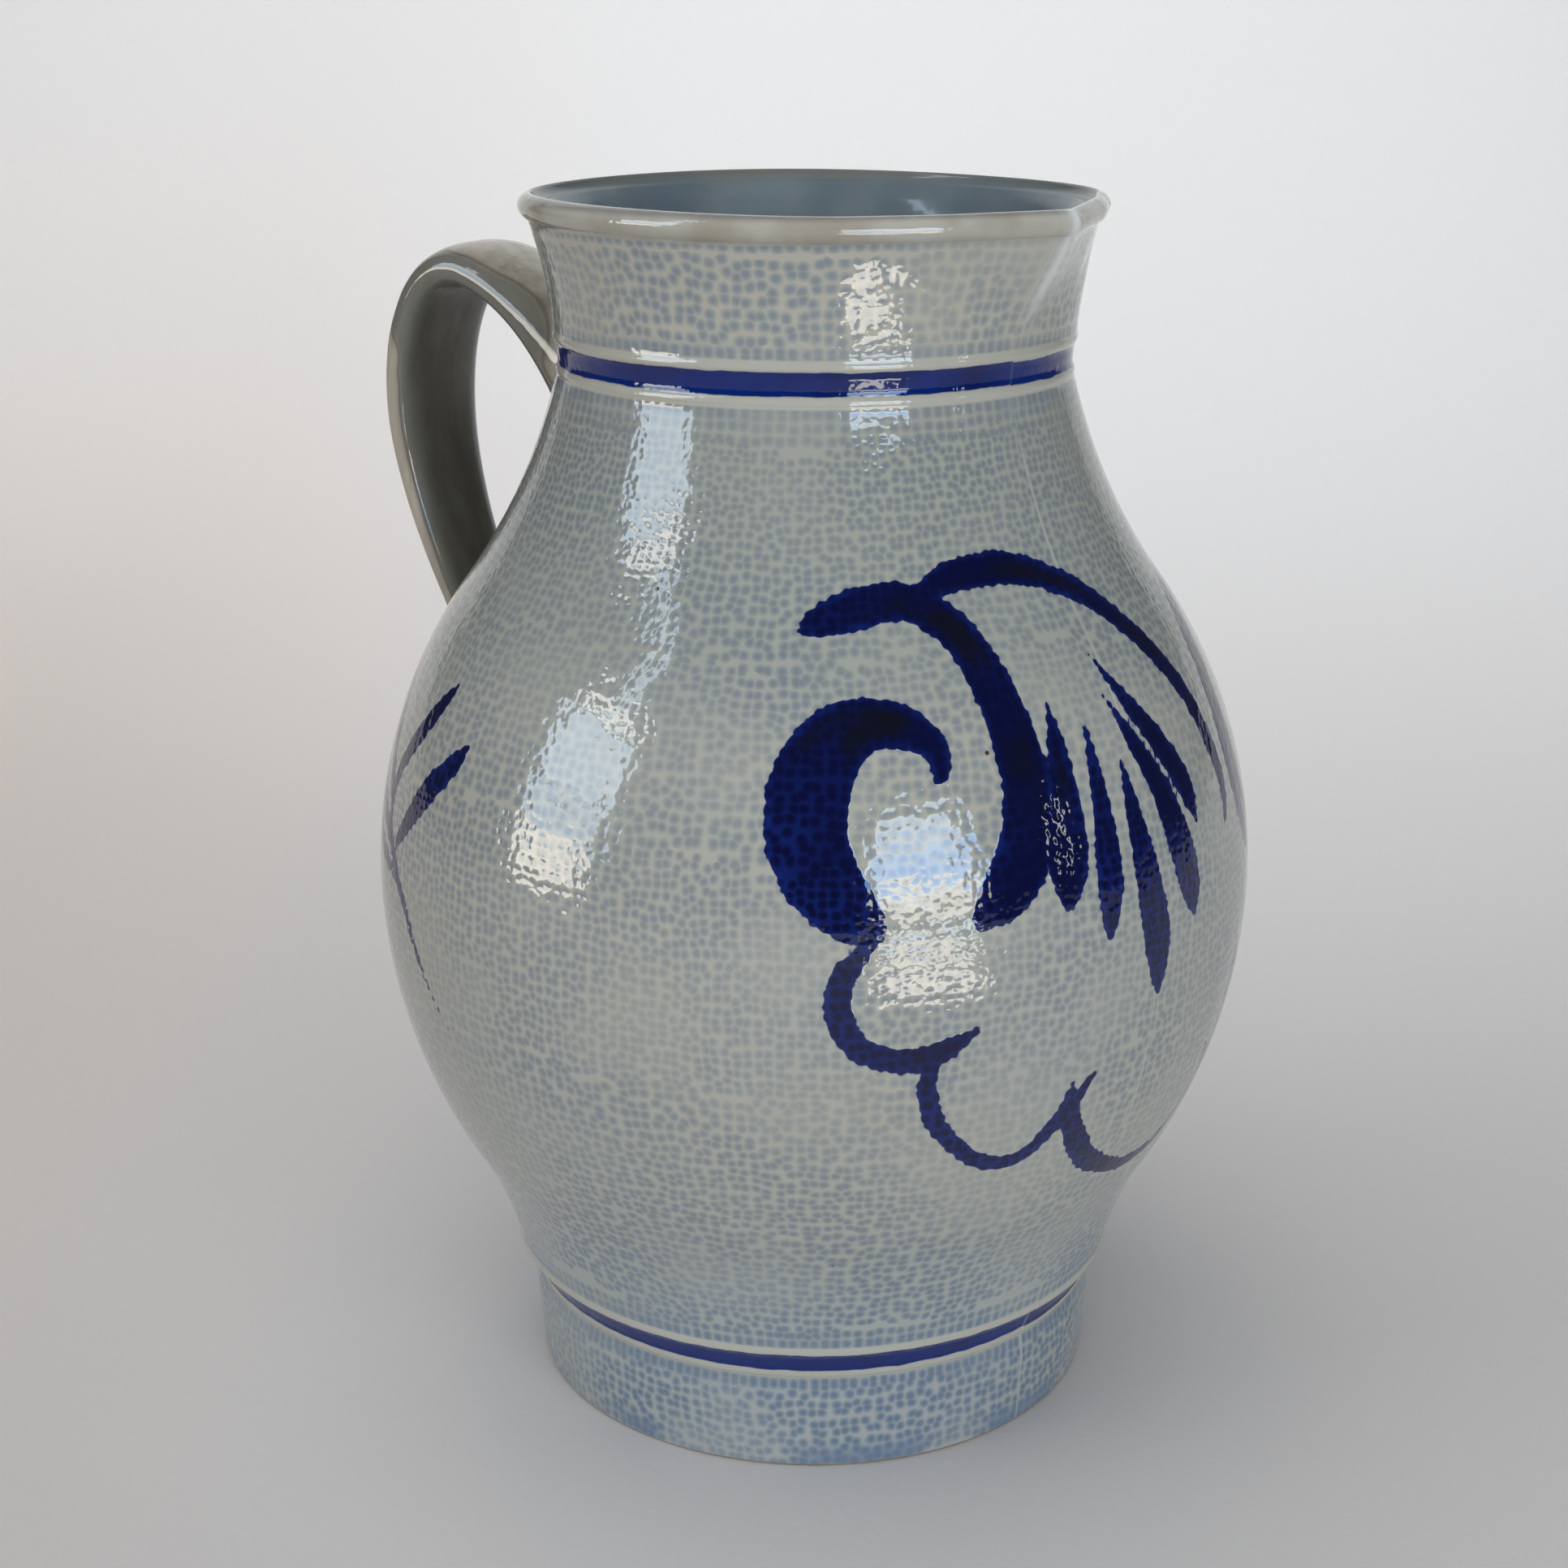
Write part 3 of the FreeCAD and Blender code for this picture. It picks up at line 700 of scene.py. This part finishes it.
def glazed_outside():
    graph = Graph("vessel_stoneware_glaze")
    turn = graph.math("ARCTAN2", graph.y, graph.x)
    climb = graph.attribute("climb")
    paint = graph.attribute("paint")
    flank = graph.attribute("flank")
    edge = graph.attribute("edge")
    height = graph.height
    gap = dot_distance(graph, turn, climb)
    dot = graph.ease(gap, 0.10, 0.74, 1.0, 0.0)

    # Where the dots run together or fade: slow patches, the seam, the strip under the
    # handle and the spout's flanks.
    patch = graph.ease(graph.noise(34.0, 3.0), 0.34, 0.66)
    beside_seam = graph.math("ADD", graph.math("MULTIPLY", graph.y, 1000 * math.cos(SEAM_ANGLE)),
                             graph.math("MULTIPLY", graph.x, -1000 * math.sin(SEAM_ANGLE)))
    seam_off = graph.math("ABSOLUTE", beside_seam)
    seam_waver = graph.math("MULTIPLY", graph.noise(55.0, 1.0), 0.5)
    seam = graph.ease(graph.math("ADD", seam_off, seam_waver), 0.35, 0.75, 1.0, 0.0)
    seam = graph.math("MULTIPLY", seam, graph.ease(graph.noise(38.0, 2.0), 0.42, 0.60, 0.2, 1.0))
    behind = graph.math("LESS_THAN", graph.x, 0.0)
    behind = graph.math("MULTIPLY", graph.ease(seam_off, 3.2, 5.0, 1.0, 0.0), behind)
    on_seam = graph.math("MAXIMUM", seam, behind)
    strength = graph.blend(patch, 0.5, 1.0)
    strength = graph.math("MULTIPLY", strength, graph.blend(flank, 1.0, 0.25))
    strength = graph.math("MULTIPLY", strength, graph.blend(on_seam, 1.0, 0.15))

    lowness = graph.ease(height, 14.0, 64.0, 1.0, 0.0)
    tone = graph.noise(22.0, 3.0)
    shoulder = graph.between(height, 142.0, 186.0, 9.0)
    highness = graph.ease(height, 180.0, 198.0)
    network = graph.mix(shoulder, graph.mix(lowness, NETWORK, NETWORK_FOOT), NETWORK_SHOULDER)
    network = graph.mix(highness, network, NETWORK_NECK)
    dots = graph.mix(shoulder, graph.mix(lowness, DOT, DOT_FOOT), DOT_SHOULDER)
    dots = graph.mix(highness, dots, DOT_NECK)
    cloud = graph.mix(graph.ease(tone, 0.3, 0.7), CLOUD_WARM, CLOUD_COOL)
    network = graph.mix(0.35, network, cloud)
    ground = graph.mix(graph.math("MULTIPLY", dot, strength), network, dots)

    # Bluer glaze gathers beside the beads.
    pooled = None
    for line, _ in DOT_ROWS[:4]:
        off_line = graph.math("ABSOLUTE", graph.math("SUBTRACT", height, line))
        near = graph.ease(off_line, 0.6, 2.6, 1.0, 0.0)
        pooled = near if pooled is None else graph.math("MAXIMUM", pooled, near)
    pooled = graph.math("MULTIPLY", pooled, graph.ease(graph.noise(48.0, 2.0), 0.38, 0.62, 0.0, 0.35))
    ground = graph.mix(pooled, ground, POOLED)

    # Thin blue washes where the foot was dipped.
    wash = graph.ease(graph.noise(34.0, 2.0), 0.48, 0.60)
    dipped = graph.math("MULTIPLY", graph.ease(height, 2.0, 6.0, 1.0, 0.0), wash)
    ground = graph.mix(graph.math("MULTIPLY", dipped, 0.7), ground, DIPPED)

    # The beads and the lip have no dots.
    plain = None
    for low, high in BEADS:
        bead = graph.between(height, low, high, 0.25)
        plain = bead if plain is None else graph.math("MAXIMUM", plain, bead)
    lip_waver = graph.math("MULTIPLY", graph.noise(80.0), 0.8)
    lip = graph.ease(graph.math("ADD", height, lip_waver), 213.2, 213.8)
    plain = graph.math("MAXIMUM", plain, lip)
    surface = graph.mix(plain, ground, CREAM)
    tan = graph.math("MULTIPLY", lip, graph.ease(graph.noise(60.0, 3.0), 0.42, 0.62, 0.15, 0.75))
    surface = graph.mix(tan, surface, LIP_TAN)
    # Painted reflection: the top of the lip roll is painted darker, for the dark it mirrors.
    rim_painted_reflection = graph.ease(height, 216.4, 217.4, 0.0, 0.55)
    surface = graph.mix(rim_painted_reflection, surface, RIM_PAINTED_DARK_REFLECTION)
    # Painted highlight along the spout's rounded edge.
    surface = graph.mix(edge, surface, SPOUT_EDGE_PAINTED_HIGHLIGHT)
    surface = graph.mix(graph.math("MULTIPLY", seam, 0.5), surface, SEAM_PALE)

    # Painted bands between the beads, with a brush's wavering edge.
    waver = graph.math("MULTIPLY", graph.math("SUBTRACT", graph.noise(210.0, 2.0), 0.5), 0.7)
    in_front = graph.math("GREATER_THAN", graph.x, 0.0)
    past_seam = graph.math("MULTIPLY", graph.math("GREATER_THAN", beside_seam, 0.0), in_front)
    brushed = graph.math("ADD", height, waver)
    brushed = graph.math("ADD", brushed, graph.math("MULTIPLY", past_seam, 0.2))
    foot_band = graph.between(brushed, FOOT_BAND[0] + 0.2, FOOT_BAND[1] - 0.1, 0.12)
    neck_band = graph.between(brushed, NECK_BAND[0] + 0.2, NECK_BAND[1] - 0.2, 0.12)
    bands = graph.math("MAXIMUM", foot_band, neck_band)
    bands = graph.math("MULTIPLY", bands, graph.blend(seam, 1.0, 0.6))
    loaded = graph.ease(graph.noise(70.0, 3.0), 0.40, 0.75, 0.0, 0.6)
    band_colour = graph.mix(loaded, COBALT_BAND, COBALT_BAND_DEEP)

    # Brush strokes: the edge follows the dots' hollows, thin paint is bluer, low on the
    # belly it turns lighter between the dots in patches, and higher up the thickest paint has burnt dark.
    ragged = graph.math("SUBTRACT", graph.math("MINIMUM", gap, 0.65), 0.38)
    ragged = graph.math("MULTIPLY", ragged, 1.5)
    rough_edge = graph.math("MULTIPLY", graph.math("SUBTRACT", graph.noise(420.0, 2.0), 0.5), 0.9)
    cut = graph.math("ADD", paint, graph.math("MULTIPLY", ragged, 0.45))
    cut = graph.math("ADD", cut, rough_edge)
    painted = graph.ease(cut, -0.10, 0.14, 1.0, 0.0)
    uneven = graph.math("MULTIPLY", graph.noise(95.0, 3.0), 1.6)
    depth = graph.ease(graph.math("ADD", cut, uneven), -0.5, 1.6, 1.0, 0.0)
    dotted = graph.math("MULTIPLY", graph.ease(graph.noise(26.0, 2.0), 0.36, 0.52, 0.1, 0.85),
                        graph.ease(height, 124.0, 138.0, 1.0, 0.35))
    between_dots = graph.ease(dot, 0.0, 1.0, 1.0, 0.0)
    thick = graph.math("SUBTRACT", depth, graph.math("MULTIPLY", dotted, between_dots))
    stroke_colour = graph.mix(thick, COBALT_THIN, COBALT_DEEP)
    burnt = graph.math("MULTIPLY", graph.ease(paint, -2.4, -0.8, 1.0, 0.0),
                       graph.ease(graph.noise(44.0, 3.0), 0.42, 0.56, 0.0, 0.85))
    burnt = graph.math("MULTIPLY", burnt, graph.ease(height, 124.0, 134.0))
    stroke_colour = graph.mix(burnt, stroke_colour, COBALT_BURNT)
    surface = graph.mix(painted, surface, stroke_colour)
    surface = graph.mix(bands, surface, band_colour)

    # A few iron specks in the clay.
    specks = graph.node("ShaderNodeTexVoronoi", {"feature": "F1"}, Vector=graph.texture,
                        Scale=62.0, Randomness=1.0)
    chance = graph.node("ShaderNodeSeparateColor", Color=specks.outputs["Color"]).outputs[0]
    speck = graph.math("MULTIPLY", graph.ease(specks.outputs["Distance"], 0.016, 0.034, 1.0, 0.0),
                       graph.math("GREATER_THAN", chance, 0.72))
    surface = graph.mix(speck, surface, IRON_SPECK)

    # Relief: hollows at the dots, paint standing slightly proud, and orange peel.
    dotless = graph.blend(plain, strength, 0.0)
    hollow = graph.math("MULTIPLY", graph.ease(gap, 0.0, 0.62, 0.0, 1.0), dotless)
    fine = graph.noise(900.0, 2.0, 0.6)
    peel = graph.noise(300.0, 2.0, 0.5)
    normal = graph.bump(hollow, 0.03 * MM)
    normal = graph.bump(peel, 0.15 * MM, normal)
    normal = graph.bump(fine, 0.006 * MM, normal)
    normal = graph.bump(painted, 0.02 * MM, normal)
    roughness = graph.blend(graph.noise(150.0, 2.0), 0.035, 0.065)
    return graph.finish(surface, roughness, normal)


def glazed_inside():
    graph = Graph("vessel_inner_glaze")
    mottle = graph.ease(graph.noise(46.0, 4.0), 0.32, 0.68)
    colour = graph.mix(mottle, INNER_GLAZE, INNER_GLAZE_DARK)
    lip_waver = graph.math("MULTIPLY", graph.noise(70.0), 2.0)
    near_lip = graph.ease(graph.math("ADD", graph.height, lip_waver), 216.0, 218.6)
    colour = graph.mix(graph.math("MULTIPLY", near_lip, 0.8), colour, INNER_LIP)
    rings = graph.node("ShaderNodeTexWave", {"bands_direction": "Z"}, Vector=graph.texture, Scale=95.0,
                       Distortion=1.5, Detail=1.0).outputs["Fac"]
    normal = graph.bump(rings, 0.04 * MM)
    normal = graph.bump(graph.noise(240.0, 2.0), 0.08 * MM, normal)
    return graph.finish(colour, graph.blend(graph.noise(160.0), 0.10, 0.18), normal)


def bare_clay():
    graph = Graph("bare_foot_clay")
    grain = graph.noise(900.0, 4.0, 0.7)
    stain = graph.ease(graph.noise(60.0, 3.0), 0.35, 0.7)
    colour = graph.mix(graph.math("MULTIPLY", stain, 0.6), BARE_CLAY, BARE_CLAY_DARK)
    colour = graph.mix(graph.ease(grain, 0.62, 0.74, 0.0, 0.5), colour, CLAY_GRIT)
    return graph.finish(colour, graph.blend(grain, 0.72, 0.9), graph.bump(grain, 0.15 * MM))


def handle_glaze(name, crease_shade):
    """Plain glaze over clay drawn by hand: faint streaks along the strap, a few iron stains."""
    graph = Graph(name)
    stretched = graph.node("ShaderNodeMapping", Vector=graph.texture, Scale=(1.0, 1.0, 0.22)).outputs[0]
    streak = graph.ease(graph.noise(240.0, 3.0, 0.55, stretched), 0.35, 0.68)
    facing_waver = graph.math("MULTIPLY", graph.noise(60.0, 2.0), 0.5)
    facing = graph.math("ADD", graph.attribute("facing"), facing_waver)
    grey = tuple(part * crease_shade for part in HANDLE_GREY)
    # The outer face is cream glaze; lower down, where the strap stands upright, the cream reaches further
    # round as painted light on its lit outer edge.
    cream_and_lit_threshold = graph.ease(graph.height, 183.0, 197.0, -0.2, 0.8)
    past_side = graph.math("SUBTRACT", facing, cream_and_lit_threshold)
    colour = graph.mix(graph.ease(past_side, 0.0, 0.42), grey, HANDLE_OUTER_CREAM_AND_PAINTED_LIGHT)
    # Painted shade: the inner face, turned towards the jug, is painted dark, with a brown tint of the glaze.
    colour = graph.mix(graph.ease(facing, -0.75, -0.2, 1.0, 0.0), colour, HANDLE_INNER_PAINTED_SHADE)
    colour = graph.mix(graph.math("MULTIPLY", streak, 0.35), colour, HANDLE_STREAK)
    # The grey sides end in a thin brown line against the cream outer face.
    border = graph.math("ABSOLUTE", graph.math("SUBTRACT", past_side, 0.16))
    colour = graph.mix(graph.ease(border, 0.0, 0.07, 0.55, 0.0), colour, HANDLE_IRON)
    iron = graph.ease(graph.noise(75.0, 4.0, 0.6, stretched), 0.60, 0.74, 0.0, 0.45)
    colour = graph.mix(iron, colour, HANDLE_IRON)
    specks = graph.node("ShaderNodeTexVoronoi", {"feature": "F1"}, Vector=graph.texture,
                        Scale=110.0, Randomness=1.0)
    speck = graph.ease(specks.outputs["Distance"], 0.02, 0.05, 0.8, 0.0)
    colour = graph.mix(speck, colour, HANDLE_SPECK)
    normal = graph.bump(graph.noise(170.0, 2.0, 0.5), 0.08 * MM)
    normal = graph.bump(graph.noise(650.0, 2.0, 0.5, stretched), 0.01 * MM, normal)
    roughness = graph.math("ADD", graph.blend(graph.noise(130.0), 0.05, 0.09),
                           graph.ease(facing, -0.75, -0.35, 0.3, 0.0))
    return graph.finish(colour, roughness, normal)


# --- stage, light and camera -------------------------------------------------
CAMERA_BEARING = math.radians(-48.0)
CAMERA_DISTANCE = 0.4482
CAMERA_HEIGHT = 0.2522
CAMERA_LENS = 58.57
CAMERA_PITCH = math.radians(17.26)
CAMERA_YAW = math.radians(0.526)
CAMERA_SHIFT = (-0.0047, -0.0076)
JUG_MIDDLE = (cad_low.z + cad_high.z) / 2
MIDDLE = Vector((0, 0, JUG_MIDDLE))
WHITE = (1.0, 1.0, 1.0)
WINDOW_WHITE = (0.97, 0.985, 1.0)
LAMP_WHITE = (1.0, 0.97, 0.93)
SKY_BLUE = (0.30, 0.56, 1.0)
SKY_PALE = (0.68, 0.84, 1.0)
CLOUD = (1.0, 0.99, 0.98)
SUNLIT = (1.0, 0.93, 0.83)
# The windows that the glaze mirrors: bearing from the camera's and elevation, width
# and height, all in degrees as the jug sees them, then colour and radiance.
PANE_DISTANCE = 1.8
PANES = {
    "left_high": (-62, 47, 4, 24, SKY_PALE, 6.0),
    "left_top": (-65, 33, 18, 4, CLOUD, 9.0),
    "left_sky": (-67, 22, 24, 16, SKY_PALE, 7.5),
    "left_low": (-68, 10, 24, 7, SKY_PALE, 6.5),
    "left_sill": (-70, 2, 21, 9, SUNLIT, 9.5),
    "right_cloud": (26, 17.5, 21, 7.5, SKY_PALE, 8.5),
    "right_sky": (27, 10, 26, 7.5, SKY_BLUE, 11.0),
    "right_bright": (27, 4.6, 25, 3.4, CLOUD, 10.0),
    "right_low": (28, 1.2, 22, 3.4, SUNLIT, 8.5),
    "right_slit": (65, 9, 1.3, 13, CLOUD, 10.0),
}
# The sunlit table in front: distance from the jug and length in metres, colour, radiance.
TABLE_PATCHES = ((0.45, 0.14, SUNLIT, 9.0), (0.80, 0.30, SUNLIT, 8.0), (1.25, 0.40, SKY_PALE, 10.0))
TABLE_BEARING = 26
TABLE_WIDTH_SHARE = 0.40
TABLE_LIFT = 0.002
ROOM_LIGHT = 0.06
ROOM_COLOUR = (0.95, 0.97, 1.0, 1.0)
BACKGROUND_COLOUR = (0.80, 0.80, 0.81, 1.0)


def from_camera(bearing, elevation, distance):
    """A place seen from the jug's middle, its bearing in degrees right of the camera's."""
    angle = CAMERA_BEARING + math.radians(bearing)
    level = distance * math.cos(math.radians(elevation))
    rise = distance * math.sin(math.radians(elevation))
    return Vector((level * math.cos(angle), level * math.sin(angle), JUG_MIDDLE + rise))


def panel(name, place, aim, size, colour, radiance):
    """A flat light of an even radiance at a place, facing another."""
    light = bpy.data.lights.new(name, "AREA")
    light.shape = "RECTANGLE"
    light.size, light.size_y = size
    light.color = colour
    light.energy = radiance * math.pi * size[0] * size[1]
    holder = bpy.data.objects.new(name, light)
    holder.location = place
    holder.rotation_euler = (aim - place).to_track_quat("-Z", "Y").to_euler()
    holder.visible_camera = False
    bpy.context.scene.collection.objects.link(holder)
    return holder


def soft_light(name, bearing, elevation, distance, size, colour, radiance):
    """A wide light that shades the jug without showing in its glaze."""
    place = from_camera(bearing, elevation, distance)
    panel(name, place, MIDDLE, (size, size), colour, radiance).visible_glossy = False


def pane(name, bearing, elevation, span, rise, colour, radiance):
    """A bright pane that shows in the glaze only, sized in degrees as the jug sees it."""
    place = from_camera(bearing, elevation, PANE_DISTANCE)
    size = [2 * PANE_DISTANCE * math.tan(math.radians(part / 2)) for part in (span, rise)]
    panel(name, place, MIDDLE, size, colour, radiance).visible_diffuse = False


def build_stage():
    """A pale sheet that runs level under the jug and curves up behind it."""
    front, back, bend, top, half_width = -1.7, 1.5, 0.9, 2.2, 1.15
    line = [(front, 0.0), (-0.6, 0.0), (0.0, 0.0), (0.5, 0.0), (back - bend, 0.0)]
    for angle in np.linspace(0, math.pi / 2, 25)[1:]:
        line.append((back - bend + bend * math.sin(angle), bend - bend * math.cos(angle)))
    line.append((back, top))
    points, faces = [], []
    for depth, height in line:
        for side in (-half_width, half_width):
            across = Vector((math.sin(CAMERA_BEARING), -math.cos(CAMERA_BEARING), 0)) * side
            away = Vector((-math.cos(CAMERA_BEARING), -math.sin(CAMERA_BEARING), 0)) * depth
            points.append(across + away + Vector((0, 0, height + cad_low.z)))
    for row in range(len(line) - 1):
        faces.append((2 * row, 2 * row + 1, 2 * row + 3, 2 * row + 2))
    mesh = bpy.data.meshes.new("sheet")
    mesh.from_pydata(points, [], faces)
    mesh.shade_smooth()
    sheet = bpy.data.objects.new("sheet", mesh)
    bpy.context.scene.collection.objects.link(sheet)
    graph = Graph("pale_paper")
    grain = graph.noise(420.0, 3.0, 0.6)
    depth = graph.math("ADD", graph.math("MULTIPLY", graph.x, -math.cos(CAMERA_BEARING)),
                       graph.math("MULTIPLY", graph.y, -math.sin(CAMERA_BEARING)))
    across = graph.math("ADD", graph.math("MULTIPLY", graph.x, -math.sin(CAMERA_BEARING)),
                        graph.math("MULTIPLY", graph.y, math.cos(CAMERA_BEARING)))
    # Painted shade: the sheet is painted a little darker near the camera than far behind the jug.
    colour = graph.mix(graph.ease(depth, 0.0, 1.2), SHEET_NEAR_PAINTED_SHADE, SHEET_FAR)
    # Painted shadow: a warm, darker patch on the sheet to the left of the jug, fading towards the back.
    to_left = graph.ease(across, -0.32, -0.02, 1.0, 0.0)
    painted_warm_shadow = graph.math("MULTIPLY", to_left, graph.ease(depth, 0.3, 1.3, 1.0, 0.2))
    colour = graph.mix(graph.math("MULTIPLY", painted_warm_shadow, 0.8), colour, SHEET_PAINTED_WARM_SHADOW)
    colour = graph.mix(graph.math("MULTIPLY", grain, 0.10), colour, SHEET_GRAIN)
    normal = graph.bump(grain, 0.12 * MM)
    mesh.materials.append(graph.finish(colour, graph.blend(grain, 0.8, 0.95), normal))


def build_lights():
    world = bpy.data.worlds.new("studio")
    world.use_nodes = True
    back = world.node_tree.nodes["Background"]
    back.inputs["Color"].default_value = ROOM_COLOUR
    back.inputs["Strength"].default_value = ROOM_LIGHT
    # The room is dark to the glaze and the light, and pale where the camera sees past the sheet.
    seen = world.node_tree.nodes.new("ShaderNodeBackground")
    seen.inputs["Color"].default_value = BACKGROUND_COLOUR
    ray = world.node_tree.nodes.new("ShaderNodeLightPath")
    either = world.node_tree.nodes.new("ShaderNodeMixShader")
    world.node_tree.links.new(ray.outputs["Is Camera Ray"], either.inputs[0])
    world.node_tree.links.new(back.outputs[0], either.inputs[1])
    world.node_tree.links.new(seen.outputs[0], either.inputs[2])
    world.node_tree.links.new(either.outputs[0], world.node_tree.nodes["World Output"].inputs["Surface"])
    bpy.context.scene.world = world
    soft_light("soft_top", -40, 74, 1.5, 1.8, WHITE, 1.15)
    soft_light("soft_front", 16, 9, 1.8, 1.9, WINDOW_WHITE, 2.05)
    soft_light("soft_left", -70, 20, 1.8, 1.0, LAMP_WHITE, 0.9)
    above_sheet, on_sheet = from_camera(180, 62, 1.1), from_camera(180, 12, 1.7)
    panel("soft_backdrop", above_sheet, on_sheet, (1.8, 1.0), WHITE, 1.7)
    for name, facts in PANES.items():
        pane(name, *facts)
    for number, (reach, length, colour, radiance) in enumerate(TABLE_PATCHES):
        angle = CAMERA_BEARING + math.radians(TABLE_BEARING + number)
        place = Vector((reach * math.cos(angle), reach * math.sin(angle), TABLE_LIFT))
        size = (length, TABLE_WIDTH_SHARE * reach)
        patch = panel(f"sunlit_table_{number}", place, place + Vector((0, 0, 1)), size, colour, radiance)
        patch.rotation_euler.z = angle
        patch.visible_diffuse = False


def build_camera():
    data = bpy.data.cameras.new("photo_camera")
    data.lens = CAMERA_LENS
    data.sensor_width = 36.0
    data.shift_x, data.shift_y = CAMERA_SHIFT
    data.clip_start, data.clip_end = 0.01, 20.0
    camera = bpy.data.objects.new("photo_camera", data)
    camera.location = (CAMERA_DISTANCE * math.cos(CAMERA_BEARING),
                       CAMERA_DISTANCE * math.sin(CAMERA_BEARING), CAMERA_HEIGHT)
    heading = CAMERA_BEARING + math.pi + CAMERA_YAW
    look = Vector((math.cos(heading) * math.cos(CAMERA_PITCH), math.sin(heading) * math.cos(CAMERA_PITCH),
                   -math.sin(CAMERA_PITCH)))
    camera.rotation_euler = look.to_track_quat("-Z", "Y").to_euler()
    bpy.context.scene.collection.objects.link(camera)
    bpy.context.scene.camera = camera


# --- the jug -----------------------------------------------------------------
def hand_over(piece, node):
    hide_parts(node)
    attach(piece, "root")


fibres, outward = strap_fibres()
hand_over(build_vessel(), "vessel")
hand_over(build_handle(fibres), "handle")
upper = build_joint("upper_joint_clay", fibres, outward, 0, UPPER_JOINT_REACH)
hand_over(upper, "upper_joint")
lower = build_joint("lower_joint_clay", fibres, outward, 1, LOWER_JOINT_REACH)
hand_over(lower, "lower_joint")
build_stage()
build_lights()
build_camera()
bpy.context.scene.view_settings.view_transform = "Standard"
